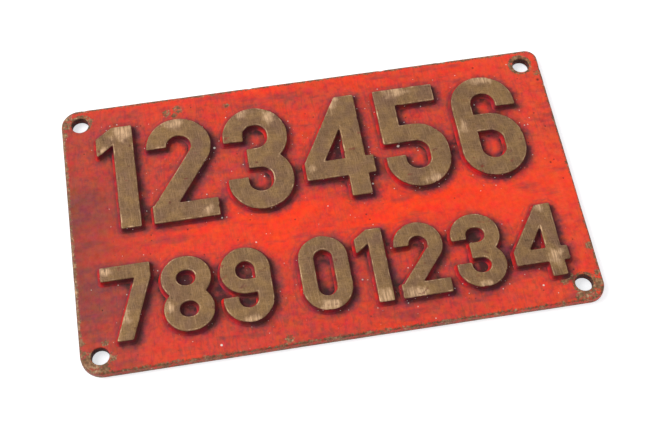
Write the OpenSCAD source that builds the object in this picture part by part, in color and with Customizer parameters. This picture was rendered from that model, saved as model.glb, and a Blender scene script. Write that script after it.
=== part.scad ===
// Cast brass warning sign plate with two rows of raised numerals and four fixing holes.
// The origin is the centre of the back face, +X runs along the rows, +Y up the sign, +Z out of the face.

/* [Plate] */
// Width of the plate, along the rows
plate_w = 162; // [152:0.5:200]
// Height of the plate
plate_h = 95; // [88:0.5:130]
// Thickness of the plate, from the back face to the ground of the front face
plate_t = 3; // [2:0.1:6]
// Lean of the side walls towards the front, for drawing the pattern from the sand
side_lean = 0.15; // [0.05:0.05:0.4]
// Break along the front edge
edge_break = 0.6; // [0.2:0.05:1]
// Radius of the top left corner
corner_top_left = 6; // [2:0.1:8]
// Radius of the top right corner
corner_top_right = 4; // [2:0.1:8]
// Radius of the bottom right corner
corner_bottom_right = 5.3; // [2:0.1:8]
// Radius of the bottom left corner
corner_bottom_left = 7; // [2:0.1:8]

/* [Fixing holes] */
// Diameter of the fixing holes
hole_d = 5.5; // [4:0.1:6.5]
// From the end edges of the plate to the hole centres
hole_inset_x = 6.25; // [5:0.05:7.5]
// From the top and bottom edges of the plate to the hole centres
hole_inset_y = 6; // [5:0.05:6.5]

/* [Relief] */
// Height of the numerals above the ground
relief = 2; // [1.4:0.1:3]
// Draft angle of the numeral walls
wall_draft = 10; // [2:0.5:15]
// Break along the top edges of the numerals
top_break = 0.3; // [0.1:0.05:0.4]
// Size of the cast fillet at the foot of the numerals
foot_fillet = 0.6; // [0.3:0.05:0.8]

/* [Large numerals] */
// Cap height of the upper row
large_h = 38.1; // [32:0.1:42]
// Width of a full numeral of the upper row
large_w = 21; // [18:0.1:22]
// Width of the narrow figure one of the upper row
large_one_w = 12; // [10:0.1:13]
// Width of the broad figure four of the upper row
large_four_w = 22.5; // [20:0.1:24]
// Stroke width of the upper row
large_stroke = 6.5; // [5:0.1:7]
// Gap between numerals of the upper row
large_gap = 4; // [2.5:0.1:5]
// From the top edge of the plate to the upper row
top_margin = 9.8; // [9.6:0.1:14]
// Shift of the upper row from the middle of the plate
large_shift = -0.75; // [-2:0.05:2]

/* [Small numerals] */
// Cap height of the lower row
small_h = 25.4; // [21:0.1:28]
// Width of a full numeral of the lower row
small_w = 15.5; // [13.5:0.1:16]
// Width of the narrow figure one of the lower row
small_one_w = 9; // [7.5:0.1:10]
// Width of the broad figure four of the lower row
small_four_w = 17; // [15:0.1:18]
// Stroke width of the lower row
small_stroke = 4.8; // [3.8:0.1:5]
// Gap between numerals of the lower row
small_gap = 2.8; // [2:0.1:3.2]
// Space between the two groups of the lower row
group_gap = 8.9; // [6:0.1:11]
// From the bottom edge of the plate to the lower row
bottom_margin = 8.9; // [8.7:0.1:13]
// Shift of the lower row from the middle of the plate
small_shift = -0.2; // [-2:0.05:2]

/* [Hidden] */
$fn = 96;

enamel_red = "#b8402f";
cast_brass = "#8c7650";

// The digit at each place of the two rows, from left to right
large_digits = [1, 2, 3, 4, 5, 6];
small_digits = [7, 8, 9, 0, 1, 2, 3, 4];
// Places of the lower row that stand before the space between its groups
first_group = 3;

// Centres of the fixing holes from the middle of the plate
hole_x = plate_w / 2 - hole_inset_x;
hole_y = plate_h / 2 - hole_inset_y;
// Extra depth of a cut past the face that it leaves
through = 1;

// Straight tail at the end of a hook, as a share of the stroke
tail_share = 0.25;
// Extra thickness of the waist of a three or an eight, as a share of the stroke
waist_share = 0.12;
// Start of the waist's stub in a three, as a share of the width
stub_share = 0.34;
// Height of the lower bowl of a five, a six or a nine, as a share of the cap height
bowl_share = 0.62;
// Length of the top bar of a five, as a share of the width
five_bar_share = 0.95;
// Thickness of the slanted stroke of a four, and overhang of its level bar, as shares of the stroke
slant_share = 0.9;
overhang_share = 0.4;
// Height of the level bar of a four above the foot, as a share of the cap height
bar_share = 0.2;
// Left end of the foot of a seven, as a share of the width
seven_foot_share = 0.22;
// Thickness of the flag of a one, as a share of the stroke, and its rise
flag_share = 0.85;
flag_angle = 35;
// Turn of the bowl of a two past its side, before its end is cut level
end_turn = 22;
// Depth at which the slanted foot of a two ends inside its base
heel_inset = 0.2;

// Chords that make the curve of the foot fillet
fillet_steps = 3;
// Horizontal run of the drafted wall between its fillet and its top edge
wall_run = (relief - top_break - foot_fillet) * tan(wall_draft);
// Reach of the foot of a wall past the outline of its top
foot_reach = wall_run + foot_fillet;
// Reach of the half spaces that bound a stroke, and of those that bound the plate
stroke_bound = 2 * max(large_h, small_h, large_four_w, small_four_w);
plate_bound = plate_w + plate_h;

// Side of a raised stroke from its foot to its top edge, where x is the outline of its top
function wall_line(x) = concat(
    [
        for (i = [fillet_steps:-1:0])
            let (turn = 90 * i / fillet_steps)
            [x + wall_run + foot_fillet * (1 - cos(turn)), foot_fillet * (1 - sin(turn))]
    ],
    [[x, relief - top_break], [x - top_break, relief]]
);

// Section of a stroke, the same on both sides of its middle line
function stroke_section(stroke) =
    let (side = wall_line(stroke / 2))
    concat(side, [for (i = [len(side) - 1:-1:0]) [-side[i][0], side[i][1]]]);

// Side of the plate from its back edge to its broken front edge, where x is the outline of its back
function plate_side(x) = [
    [x, 0],
    [x - side_lean, plate_t - edge_break],
    [x - side_lean - edge_break, plate_t]
];

// Width of a numeral, from its digit and the widths of its row
function digit_w(digit, full_w, one_w, four_w) = digit == 1 ? one_w : digit == 4 ? four_w : full_w;

function large_digit_w(place) = digit_w(large_digits[place], large_w, large_one_w, large_four_w);

function small_digit_w(place) = digit_w(small_digits[place], small_w, small_one_w, small_four_w);

// Left edge of a numeral, from the left end of its row
function large_left(place) = place == 0 ? 0 : large_left(place - 1) + large_digit_w(place - 1) + large_gap;

function small_left(place) = place == 0
    ? 0
    : small_left(place - 1) + small_digit_w(place - 1) + (place == first_group ? group_gap : small_gap);

large_last = len(large_digits) - 1;
small_last = len(small_digits) - 1;
large_row_w = large_left(large_last) + large_digit_w(large_last);
small_row_w = small_left(small_last) + small_digit_w(small_last);

// Half space under a side line that stands at x and y and faces the outward angle
module half_space(x, y, angle, side, height, bound) {
    translate([x, y, 0])
        rotate(angle)
            rotate([90, 0, 0])
                linear_extrude(height = 2 * bound, center = true)
                    polygon(concat([[-bound, 0]], side, [[-bound, height]]));
}

// Straight stroke: what its walls enclose. Each wall is [x, y, outward angle, open], and an open wall is a
// square cut where the stroke goes on into its neighbour.
module straight(walls) {
    intersection_for (wall = walls)
        half_space(
            wall[0], wall[1], wall[2],
            wall[3] ? [[0, 0], [0, relief]] : wall_line(0),
            relief, stroke_bound
        );
}

// Upright stroke between two heights
module upright(x, y0, y1, stroke, open_foot = false, open_head = false) {
    straight([
        [x - stroke / 2, y0, 180, false],
        [x + stroke / 2, y0, 0, false],
        [x, y0, -90, open_foot],
        [x, y1, 90, open_head]
    ]);
}

// Level stroke between two sides
module level(x0, x1, y, stroke, open_left = false, open_right = false) {
    straight([
        [x0, y - stroke / 2, -90, false],
        [x0, y + stroke / 2, 90, false],
        [x0, y, 180, open_left],
        [x1, y, 0, open_right]
    ]);
}

// Curved stroke round a centre, open at both ends
module bend(x, y, radius, from, to, stroke) {
    translate([x, y, 0])
        rotate(from)
            rotate_extrude(angle = to - from)
                translate([radius, 0])
                    polygon(stroke_section(stroke));
}

// A point turned about the origin
function turned(point, angle) = [
    point[0] * cos(angle) - point[1] * sin(angle),
    point[0] * sin(angle) + point[1] * cos(angle)
];

module flip_across(w) {
    translate([w, 0, 0])
        mirror([1, 0, 0])
            children();
}

module flip_down(h) {
    translate([0, h, 0])
        mirror([0, 1, 0])
            children();
}

// Reach of each of two stacked bowls past the middle of their figure
function waist_lap(stroke) = (1 - waist_share) * stroke / 2;

// Radius of the middle line of a bowl in an outline of w by h
function bowl_radius(w, h, stroke) = (min(w, h) - stroke) / 2;

// Right quarter turn below a top line, from the middle of the figure to its side
module top_turn(w, top, radius, stroke) {
    side_x = w - stroke / 2 - radius;
    bend(side_x, top - stroke / 2 - radius, radius, 0, 90, stroke);
    if (side_x > w / 2) level(w / 2, side_x, top - stroke / 2, stroke, true, true);
}

// Right half of a bowl between two heights
module bowl_side(w, low, high, stroke) {
    radius = bowl_radius(w, high - low, stroke);
    low_y = low + stroke / 2 + radius;
    high_y = high - stroke / 2 - radius;
    top_turn(w, high, radius, stroke);
    translate([0, low, 0])
        flip_down(0)
            top_turn(w, 0, radius, stroke);
    if (high_y > low_y) upright(w - stroke / 2, low_y, high_y, stroke, true, true);
}

// Right hook below a top line: a quarter turn that ends in a short straight tail
module hook(w, top, radius, stroke) {
    tail_y = top - stroke / 2 - radius;
    top_turn(w, top, radius, stroke);
    upright(w - stroke / 2, tail_y - tail_share * stroke, tail_y, stroke, false, true);
}

module figure_zero(h, w, stroke) {
    bowl_side(w, 0, h, stroke);
    flip_across(w) bowl_side(w, 0, h, stroke);
}

module figure_one(h, w, stroke) {
    stem_left = w - stroke;
    upright(w - stroke / 2, 0, h, stroke);
    flag = flag_share * stroke;
    straight([
        [stem_left, h, flag_angle + 90, false],
        [stem_left + flag * sin(flag_angle), h - flag * cos(flag_angle), flag_angle - 90, false],
        [0, h, 180, false],
        [stem_left, h, 90, false],
        [stem_left + stroke / 2, h, 0, false]
    ]);
}

// What a level cut takes from the left end of a bend round the origin
module level_end_waste(radius, stroke) {
    inner = radius - stroke / 2 - foot_reach;
    outer = radius + stroke / 2 + foot_reach;
    depth = outer * sin(end_turn) + through;
    difference() {
        translate([-outer - through, -depth, 0])
            cube([outer + through - inner / 2, depth + relief, relief + through]);
        half_space(0, 0, -90, wall_line(0), relief + through, stroke_bound);
    }
}

// The bowl and the slanted foot of a two share a turned frame, where they are tangent. The foot aims at the
// bottom left corner and its heel ends inside the base. The bowl is cut level at the height of its centre.
module figure_two(h, w, stroke) {
    radius = bowl_radius(w, h, stroke);
    centre = [w / 2, h - w / 2];
    slope = atan2(centre[1], centre[0]) - asin(radius / norm(centre));
    heel = turned([heel_inset, heel_inset] - centre, -slope);
    translate([centre[0], centre[1], 0])
        difference() {
            rotate(slope) {
                bend(0, 0, radius, -90, 180 + end_turn - slope, stroke);
                straight([
                    [0, -radius + stroke / 2, 90, false],
                    [0, -radius - stroke / 2, -90, false],
                    [0, -radius, 0, true],
                    [heel[0], heel[1], 180 - slope, false],
                    [heel[0], heel[1], -90 - slope, false]
                ]);
            }
            level_end_waste(radius, stroke);
        }
    level(0, w, stroke / 2, stroke);
}

// Right half of two bowls, one over the other, that lap at a waist a little thicker than the stroke
module bowl_pair(h, w, stroke) {
    bowl_side(w, 0, h / 2 + waist_lap(stroke), stroke);
    bowl_side(w, h / 2 - waist_lap(stroke), h, stroke);
}

module figure_three(h, w, stroke) {
    radius = bowl_radius(w, h / 2 + waist_lap(stroke), stroke);
    bowl_pair(h, w, stroke);
    level(stub_share * w, w / 2, h / 2, (1 + waist_share) * stroke, false, true);
    flip_across(w) hook(w, h, radius, stroke);
    flip_across(w) flip_down(h) hook(w, h, radius, stroke);
}

module figure_four(h, w, stroke) {
    bar_y = bar_share * h;
    stem_left = w - (1 + overhang_share) * stroke;
    slant = slant_share * stroke;
    slope = atan2(h - bar_y - stroke, stem_left);
    upright(stem_left + stroke / 2, 0, h, stroke);
    level(0, w, bar_y + stroke / 2, stroke);
    straight([
        [0, bar_y + stroke, slope + 90, false],
        [slant * sin(slope), bar_y + stroke - slant * cos(slope), slope - 90, false],
        [0, bar_y, 180, false],
        [0, bar_y, -90, false],
        [0, h, 90, false],
        [stem_left + stroke / 2, h, 0, false]
    ]);
}

// Lower bowl of a five or a six, with its arm back to the left side
module armed_bowl(h, w, stroke) {
    top = bowl_share * h;
    bowl_side(w, 0, top, stroke);
    level(0, w / 2, top - stroke / 2, stroke, false, true);
}

module figure_five(h, w, stroke) {
    top = bowl_share * h;
    armed_bowl(h, w, stroke);
    upright(stroke / 2, top - stroke, h, stroke);
    level(0, five_bar_share * w, h - stroke / 2, stroke);
    flip_across(w) flip_down(h) hook(w, h, bowl_radius(w, top, stroke), stroke);
}

module figure_six(h, w, stroke) {
    low_radius = bowl_radius(w, bowl_share * h, stroke);
    top_radius = bowl_radius(w, h, stroke);
    armed_bowl(h, w, stroke);
    hook(w, h, top_radius, stroke);
    flip_across(w) top_turn(w, h, top_radius, stroke);
    flip_across(w) flip_down(h) top_turn(w, h, low_radius, stroke);
    upright(stroke / 2, stroke / 2 + low_radius, h - stroke / 2 - top_radius, stroke, true, true);
}

module figure_seven(h, w, stroke) {
    foot_x = seven_foot_share * w;
    rise = [w - foot_x, h - stroke];
    slope = atan2(rise[1], rise[0]) + asin(stroke / norm(rise));
    level(0, w, h - stroke / 2, stroke);
    straight([
        [foot_x, 0, slope + 90, false],
        [w, h - stroke, slope - 90, false],
        [w, h, 0, false],
        [foot_x, 0, -90, false],
        [w, h - stroke / 2, 90, false]
    ]);
}

module figure_eight(h, w, stroke) {
    bowl_pair(h, w, stroke);
    flip_across(w) bowl_pair(h, w, stroke);
}

module figure_nine(h, w, stroke) {
    translate([w, h, 0])
        rotate(180)
            figure_six(h, w, stroke);
}

module figure(digit, h, w, stroke) {
    if (digit == 0) figure_zero(h, w, stroke);
    if (digit == 1) figure_one(h, w, stroke);
    if (digit == 2) figure_two(h, w, stroke);
    if (digit == 3) figure_three(h, w, stroke);
    if (digit == 4) figure_four(h, w, stroke);
    if (digit == 5) figure_five(h, w, stroke);
    if (digit == 6) figure_six(h, w, stroke);
    if (digit == 7) figure_seven(h, w, stroke);
    if (digit == 8) figure_eight(h, w, stroke);
    if (digit == 9) figure_nine(h, w, stroke);
}

// What a corner of the plate loses to its radius, for the corner on the side signs given
module corner_waste(side_x, side_y, radius) {
    translate([side_x * (plate_w / 2 - radius), side_y * (plate_h / 2 - radius), 0])
        mirror([side_x < 0 ? 1 : 0, 0, 0])
            mirror([0, side_y < 0 ? 1 : 0, 0])
                difference() {
                    translate([0, 0, -through])
                        cube([radius + through, radius + through, plate_t + 2 * through]);
                    rotate_extrude() polygon(concat([[0, 0]], plate_side(radius), [[0, plate_t]]));
                }
}

module plate() {
    color(enamel_red)
        difference() {
            intersection() {
                half_space(plate_w / 2, 0, 0, plate_side(0), plate_t, plate_bound);
                half_space(-plate_w / 2, 0, 180, plate_side(0), plate_t, plate_bound);
                half_space(0, plate_h / 2, 90, plate_side(0), plate_t, plate_bound);
                half_space(0, -plate_h / 2, -90, plate_side(0), plate_t, plate_bound);
            }
            corner_waste(-1, 1, corner_top_left);
            corner_waste(1, 1, corner_top_right);
            corner_waste(1, -1, corner_bottom_right);
            corner_waste(-1, -1, corner_bottom_left);
            for (x = [-hole_x, hole_x], y = [-hole_y, hole_y])
                translate([x, y, -through])
                    cylinder(d = hole_d, h = plate_t + 2 * through);
        }
}

// Numeral at one place of the upper row, seated on the ground of the plate
module large_numeral(place) {
    left = large_shift - large_row_w / 2 + large_left(place);
    foot = plate_h / 2 - top_margin - large_h;
    color(cast_brass)
        translate([left, foot, plate_t])
            figure(large_digits[place], large_h, large_digit_w(place), large_stroke);
}

// Numeral at one place of the lower row, seated on the ground of the plate
module small_numeral(place) {
    left = small_shift - small_row_w / 2 + small_left(place);
    foot = bottom_margin - plate_h / 2;
    color(cast_brass)
        translate([left, foot, plate_t])
            figure(small_digits[place], small_h, small_digit_w(place), small_stroke);
}

plate();
large_numeral(0);  // large_numeral_1
large_numeral(1);  // large_numeral_2
large_numeral(2);  // large_numeral_3
large_numeral(3);  // large_numeral_4
large_numeral(4);  // large_numeral_5
large_numeral(5);  // large_numeral_6
small_numeral(0);  // small_numeral_7
small_numeral(1);  // small_numeral_8
small_numeral(2);  // small_numeral_9
small_numeral(3);  // small_numeral_0
small_numeral(4);  // small_numeral_1
small_numeral(5);  // small_numeral_2
small_numeral(6);  // small_numeral_3
small_numeral(7);  // small_numeral_4
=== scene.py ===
"""Dressed model of a cast brass sign plate with two rows of raised numerals.

The CAD frame gives every outline. Each node is rebuilt over its own outlines as a fine mesh, gets the uneven
skin of a sand casting from one Geometry Nodes tree, and is coated with red enamel that has worn to the brass.
Lengths are millimetres in this file, and become metres where a mesh is made.
"""

import logging
import math
from collections.abc import Callable
from dataclasses import dataclass, fields
from enum import Enum
from typing import Any

import bmesh
import bpy
import numpy as np
from mathutils import Matrix, Vector
from mathutils.geometry import delaunay_2d_cdt


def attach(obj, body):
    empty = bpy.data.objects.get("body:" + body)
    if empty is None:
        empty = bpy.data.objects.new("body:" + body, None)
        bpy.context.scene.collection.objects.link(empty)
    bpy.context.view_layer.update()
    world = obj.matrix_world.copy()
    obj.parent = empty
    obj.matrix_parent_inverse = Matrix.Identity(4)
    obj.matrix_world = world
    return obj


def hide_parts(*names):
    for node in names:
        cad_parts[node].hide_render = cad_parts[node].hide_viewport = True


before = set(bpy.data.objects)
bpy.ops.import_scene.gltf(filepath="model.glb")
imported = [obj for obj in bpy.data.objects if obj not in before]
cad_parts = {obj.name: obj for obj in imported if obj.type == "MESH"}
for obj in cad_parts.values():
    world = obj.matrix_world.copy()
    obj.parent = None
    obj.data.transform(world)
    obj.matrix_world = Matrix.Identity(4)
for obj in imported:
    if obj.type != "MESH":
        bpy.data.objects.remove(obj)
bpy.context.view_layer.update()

MM = 0.001
# Corners this close together become one, in the CAD copy and in the fine mesh
CAD_WELD = 0.005
WELD = 0.002
LEVEL_ERROR = 0.01
SAME_POINT = 1e-6
FEWEST_POINTS = 12
# Radii past which a bell curve counts as nought
BELL_REACH = 2.5
FIRST_NUMERAL_SEED = 31
# Painted shadow and dirt lie on the right of the raised work and a little below it: away from the lamp at the
# upper left, and where a wiping hand doesn't reach
SHADOW_AND_DIRT_SHIFT = np.array([-1.1, 0.35])

log = logging.getLogger("sign_plate")

Array = np.ndarray
Material = bpy.types.Material
Mesh = bpy.types.Mesh
Piece = bpy.types.Object
Colour = tuple[float, float, float, float]
Triple = tuple[float, float, float]
# Pairs of a distance and a height, one pair for each ring of a wall
Section = tuple[tuple[float, float], ...]


# Sums with points of the plane


def smooth_share(value: Array, start: float, end: float) -> Array:
    """Rises softly from 0 at one value to 1 at another."""
    share = np.clip((value - start) / (end - start), 0, 1)
    return share * share * (3 - 2 * share)


def lifted(points: Array, level: float) -> Array:
    """Gives points of the plane one height."""
    return np.column_stack([points, np.full(len(points), level)])


def square_grid(low: Array, high: Array, step: float) -> Array:
    """Covers a rectangle with rows of points in a square grid."""
    across, up = (np.arange(start, end + step, step) for start, end in zip(low, high))
    return np.stack(np.meshgrid(across, up), axis=-1)


def honeycomb(low: Array, high: Array, spacing: float) -> Array:
    """Fills a rectangle with points in staggered rows.

    Args:
        low: Lowest corner of the rectangle.
        high: Highest corner.
        spacing: Distance between neighbours.

    Returns:
        The points.
    """
    rows = []
    for index, height in enumerate(np.arange(low[1], high[1], spacing * math.sqrt(3) / 2)):
        across = np.arange(low[0] + spacing / 2 * (index % 2), high[0], spacing)
        rows.append(lifted(across, height))
    return np.concatenate(rows)


def inwards(loop: Array) -> Array:
    """Gives the direction that leads into a closed line from each of its points."""
    along = np.roll(loop, -1, axis=0) - np.roll(loop, 1, axis=0)
    return along[:, ::-1] * (-1, 1) / np.linalg.norm(along, axis=1)[:, None]


def evenly_spaced(loop: Array, spacing: float) -> Array:
    """Places points at equal steps along a closed line.

    Args:
        loop: Corners of the line.
        spacing: Wanted step.

    Returns:
        The new points.
    """
    closed = np.vstack([loop, loop[:1]])
    lengths = np.concatenate([[0], np.cumsum(np.linalg.norm(np.diff(closed, axis=0), axis=1))])
    count = max(FEWEST_POINTS, round(lengths[-1] / spacing))
    stations = np.linspace(0, lengths[-1], count, endpoint=False)
    return np.column_stack([np.interp(stations, lengths, closed[:, axis]) for axis in (0, 1)])


def softened(values: Array, radius: float) -> Array:
    """Averages a grid of values with a bell curve.

    Args:
        values: The grid.
        radius: Radius of the bell, in steps of the grid.

    Returns:
        The softened grid.
    """
    reach = math.ceil(BELL_REACH * radius)
    weights = np.exp(-0.5 * (np.arange(-reach, reach + 1) / radius) ** 2)
    values = np.pad(values, reach, mode="reflect", reflect_type="odd")
    for axis in (0, 1):
        values = np.apply_along_axis(np.convolve, axis, values, weights / weights.sum(), mode="valid")
    return values


# Outlines taken from the CAD frame


class Row(Enum):
    """The two rows of raised numerals, by the first words of their nodes."""

    UPPER = "large_numeral"
    LOWER = "small_numeral"


@dataclass(frozen=True)
class Outlines:
    """Closed outlines of one flat face of a CAD node, seen from the front."""

    loops: tuple[Array, ...]

    @classmethod
    def of_face(cls, node_name: str, level: float) -> "Outlines":
        """Traces the border of the faces of a node that lie flat at one height.

        Args:
            node_name: Name of the CAD node.
            level: Height of the flat face over the back of the plate.

        Returns:
            The face's outlines, the outer one and those round its openings.
        """
        shell = bmesh.new()
        shell.from_mesh(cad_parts[node_name].data)
        bmesh.ops.remove_doubles(shell, verts=shell.verts, dist=CAD_WELD * MM)
        off_level = {vertex for vertex in shell.verts if abs(vertex.co.z / MM - level) >= LEVEL_ERROR}
        flat = [face for face in shell.faces if off_level.isdisjoint(face.verts)]
        members = set(flat)
        following = {}
        for loop in (loop for face in flat for loop in face.loops):
            if len(members.intersection(loop.edge.link_faces)) == 1:
                following[loop.vert] = loop.link_loop_next.vert
        loops = []
        while following:
            start, current = following.popitem()
            chain = [start]
            while current is not start:
                chain.append(current)
                current = following.pop(current)
            loop = np.array([(vertex.co.x, vertex.co.y) for vertex in chain]) / MM
            x, y = loop.T
            runs_right_round = (x * np.roll(y, -1) - y * np.roll(x, -1)).sum() > 0
            loops.append(loop if runs_right_round else loop[::-1])
        shell.free()
        return cls(tuple(sorted(loops, key=lambda loop: -np.ptp(loop[:, 0]))))

    def box(self) -> tuple[Array, Array]:
        """Gives the lowest and highest corner of all the outlines."""
        points = np.concatenate(self.loops)
        return points.min(axis=0), points.max(axis=0)

    def gap(self, points: Array, reach: float = 2.5) -> Array:
        """Measures how far points lie outside the outlines.

        Args:
            points: Places in the plane, one to a row.
            reach: Distance past which it isn't measured.

        Returns:
            The distance of each point, negative where it is inside.
        """
        # Sorted by height, the points that a side can be near lie next to each other
        order = np.argsort(points[:, 1])
        x, y = points[order].T
        nearest = np.full(len(points), reach**2)
        inside = np.zeros(len(points), dtype=bool)
        for loop in self.loops:
            for start, end in zip(loop, np.roll(loop, -1, axis=0)):
                run, rise = end - start
                low, high = sorted((start[1], end[1]))
                near = slice(*np.searchsorted(y, (low - reach, high + reach)))
                across, up = x[near] - start[0], y[near] - start[1]
                share = ((across * run + up * rise) / (run**2 + rise**2)).clip(0, 1)
                away = (across - share * run) ** 2 + (up - share * rise) ** 2
                nearest[near] = np.minimum(nearest[near], away)
                # A point is inside where an odd number of sides pass on its right
                if low != high:
                    level = slice(*np.searchsorted(y, (low, high)))
                    inside[level] ^= x[level] < start[0] + (y[level] - start[1]) * run / rise
        gap = np.empty(len(points))
        gap[order] = np.where(inside, -1, 1) * np.sqrt(nearest)
        return gap


@dataclass(frozen=True)
class DistanceMap:
    """Softened distance outwards from some outlines, on a square grid."""

    origin: Array
    step: float
    values: Array

    @classmethod
    def around(cls, outlines: Outlines, margin: float, step: float, softening: float) -> "DistanceMap":
        """Samples the distance to outlines and rounds its creases.

        Args:
            outlines: Outlines to measure from.
            margin: Reach of the grid past the outlines.
            step: Spacing of the grid.
            softening: Radius over which the creases are rounded.

        Returns:
            The map.
        """
        low, high = outlines.box()
        grid = square_grid(low - margin, high + margin, step)
        values = outlines.gap(grid.reshape(-1, 2)).reshape(grid.shape[:2])
        return cls(grid[0, 0], step, softened(values, softening / step))

    def contour(self, level: float) -> list[Array]:
        """Follows the closed lines on which the distance has one value.

        The grid's sides have numbers, first all those along X and then all those along Y.

        Args:
            level: Distance outwards, negative for inwards.

        Returns:
            One array of points for each closed line.
        """
        above = self.values > level
        crossed = np.zeros((2, *above.shape), dtype=bool)
        crossed[0, :, :-1] = above[:, 1:] != above[:, :-1]
        crossed[1, :-1] = above[1:] != above[:-1]
        crossed = crossed.ravel()
        bottom = np.arange(above.size).reshape(above.shape)[:-1, :-1].ravel()
        left = bottom + above.size
        cells = np.column_stack([bottom, left, bottom + above.shape[1], left + 1])
        neighbours: dict[int, list[int]] = {}
        for cell in cells[crossed[cells].any(axis=1)]:
            ends = cell[crossed[cell]]
            for first, second in zip(ends[::2], ends[1::2]):
                neighbours.setdefault(first, []).append(second)
                neighbours.setdefault(second, []).append(first)
        loops = []
        while neighbours:
            start = next(iter(neighbours))
            chain = [start]
            current = neighbours.pop(start)[0]
            while current != start:
                chain.append(current)
                ahead = neighbours.pop(current)
                current = ahead[0] if ahead[1] == chain[-2] else ahead[1]
            loops.append(self.crossing_points(np.array(chain), level))
        return loops

    def crossing_points(self, sides: Array, level: float) -> Array:
        """Finds where the grid's sides cross one level.

        Args:
            sides: Numbers of the sides.
            level: Distance at which they are crossed.

        Returns:
            One point for each side.
        """
        upright = sides >= self.values.size
        row, column = np.divmod(sides % self.values.size, self.values.shape[1])
        first = self.values[row, column]
        second = self.values[row + upright, column + ~upright]
        share = (level - first) / (second - first)
        cell = np.column_stack([column + np.where(upright, 0, share), row + np.where(upright, share, 0)])
        return self.origin + self.step * cell


# Meshes


class Patchwork:
    """Patches of one closed surface, which join where their corners meet."""

    def __init__(self) -> None:
        """Starts without a patch."""
        self.corners: list[Array] = []
        self.faces: list[list[int]] = []
        self.count = 0

    def add(self, corners: Array, faces: Array) -> None:
        """Adds a patch.

        Args:
            corners: Its corners.
            faces: Its faces, as the numbers of its own corners.
        """
        self.faces.extend((faces + self.count).tolist())
        self.corners.append(corners)
        self.count += len(corners)

    def add_rings(self, rings: list[Array]) -> None:
        """Adds a wall that joins closed rings.

        Args:
            rings: The rings, all with the same count of points.
        """
        first = np.arange(len(rings) * len(rings[0])).reshape(len(rings), -1)
        ahead = np.roll(first, -1, axis=1)
        faces = np.stack([first[:-1], ahead[:-1], ahead[1:], first[1:]], axis=-1)
        self.add(np.concatenate(rings), faces.reshape(-1, 4))

    def add_sheet(self, loops: list[Array], loose: Array, level: float, facing_up: bool) -> None:
        """Adds a flat sheet between closed lines, with some loose points inside it."""
        points, faces, _ = triangles_between(loops, loose, loops)
        self.add(lifted(points, level), faces if facing_up else faces[:, ::-1])

    def mesh(self, name: str) -> Mesh:
        """Joins the patches into one mesh in metres, with its faces turned outwards.

        Args:
            name: Name of the mesh.

        Returns:
            The mesh.
        """
        mesh = bpy.data.meshes.new(name)
        mesh.from_pydata((np.concatenate(self.corners) * MM).tolist(), [], self.faces)
        shell = bmesh.new()
        shell.from_mesh(mesh)
        bmesh.ops.remove_doubles(shell, verts=shell.verts, dist=WELD * MM)
        loose = [vertex for vertex in shell.verts if not vertex.link_faces]
        bmesh.ops.delete(shell, geom=loose, context="VERTS")
        bmesh.ops.recalc_face_normals(shell, faces=shell.faces)
        shell.to_mesh(mesh)
        shell.free()
        return mesh


def triangles_between(loops: list[Array], loose: Array, border: list[Array]) -> tuple[Array, Array, Array]:
    """Joins closed lines and loose points into triangles, none of which crosses a line.

    Args:
        loops: Closed lines.
        loose: Further points.
        border: The lines between which the triangles are kept.

    Returns:
        The corners, the triangles, and for each corner the number of the point it came from.
    """
    edges = []
    start = 0
    for loop in loops:
        edges.extend((start + index, start + (index + 1) % len(loop)) for index in range(len(loop)))
        start += len(loop)
    points = [Vector(point) for point in np.concatenate([*loops, loose])]
    corners, _, faces, sources, _, _ = delaunay_2d_cdt(points, edges, [], 0, SAME_POINT)
    corners, faces = np.array([tuple(corner) for corner in corners]), np.array(faces)
    kept = Outlines(tuple(border)).gap(corners[faces].mean(axis=1), reach=0.1) < 0
    return corners, faces[kept], np.array([origins[0] if origins else -1 for origins in sources])


def corners_of(mesh: Mesh) -> Array:
    """Reads a mesh's corners in millimetres."""
    return np.array([vertex.co for vertex in mesh.vertices], dtype=np.float64) / MM


def store(mesh: Mesh, **numbers: Array) -> None:
    """Keeps numbers for each corner of a mesh, for its skin and its finish."""
    for name, values in numbers.items():
        mesh.attributes.new(name, "FLOAT", "POINT").data.foreach_set("value", values.astype(np.float32))


def in_scene(name: str, data: Mesh | bpy.types.Camera | bpy.types.Light) -> Piece:
    """Puts an object into the scene.

    Args:
        name: Name of the object.
        data: Its mesh, camera or lamp.

    Returns:
        The object, at the origin.
    """
    piece = bpy.data.objects.new(name, data)
    bpy.context.scene.collection.objects.link(piece)
    return piece


# Trees of nodes


class Wiring:
    """Adds nodes to one tree and joins them, so that a recipe reads from top to bottom."""

    def __init__(self, tree: bpy.types.NodeTree) -> None:
        """Takes the tree."""
        self.tree = tree

    @classmethod
    def instead(cls, owner: Material | bpy.types.World) -> "Wiring":
        """Empties the node tree of a material or a world.

        Args:
            owner: What the tree belongs to.

        Returns:
            The wiring of its tree.
        """
        owner.use_nodes = True
        owner.node_tree.nodes.clear()
        return cls(owner.node_tree)

    def put(self, kind: str, inputs: dict[Any, Any] | None = None, **settings: Any) -> "Signal":
        """Adds a node.

        Args:
            kind: Blender's name for the type of node.
            inputs: Value or signal of each input, by its name or number.
            settings: The node's own settings.

        Returns:
            The node's first output.
        """
        node = self.tree.nodes.new(kind)
        # Nodes stand in columns of four, so that the tree can be read in the editor
        column, row = divmod(len(self.tree.nodes), 4)
        node.location = (220 * column, -260 * row)
        for name, value in settings.items():
            setattr(node, name, value)
        for key, value in (inputs or {}).items():
            if isinstance(value, Signal):
                self.tree.links.new(value.socket, node.inputs[key])
            else:
                node.inputs[key].default_value = value
        return Signal(self, node)


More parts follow.
